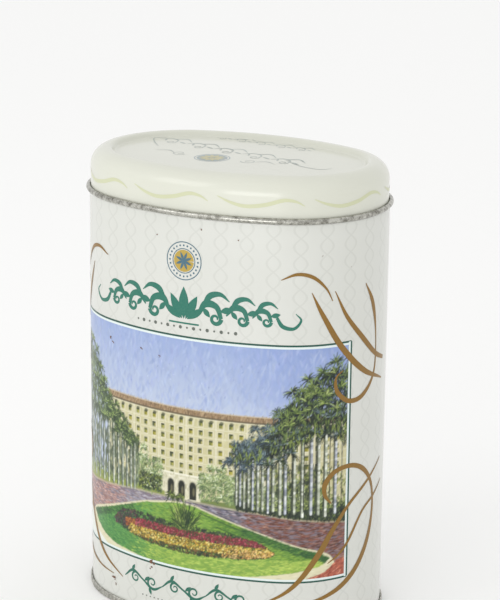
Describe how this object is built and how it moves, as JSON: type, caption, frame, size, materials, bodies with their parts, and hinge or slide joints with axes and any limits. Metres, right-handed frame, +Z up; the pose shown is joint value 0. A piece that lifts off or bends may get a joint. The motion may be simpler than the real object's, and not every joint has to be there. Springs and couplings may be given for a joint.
{
  "type": "oval slip-lid gift tin",
  "caption": "Upright oval tinplate tin with a printed wall, a double-seamed base and a lift-off slip lid with a rolled edge.",
  "frame": {"origin": "middle of the oval, on the surface that the tin stands on", "axes": "+Z up, X along the oval's long side, printed front towards -Y, side seam at the back on +Y"},
  "size_m": [0.1348, 0.0948, 0.1956],
  "materials": {
    "printed_wall": "glossy varnish over a cream litho print",
    "printed_lid": "glossy varnish over a cream litho print",
    "bare_tinplate": "bright tinplate, lightly tarnished"
  },
  "bodies": {
    "tin": {"body_wall": "printed_wall", "base_end": "bare_tinplate"},
    "lid": {"lid": "printed_lid"}
  },
  "joints": [
    {"name": "lid_lift", "type": "slide", "parent": "tin", "child": "lid", "axis": [0, 0, 1], "range_m": [0, 0.06]}
  ]
}
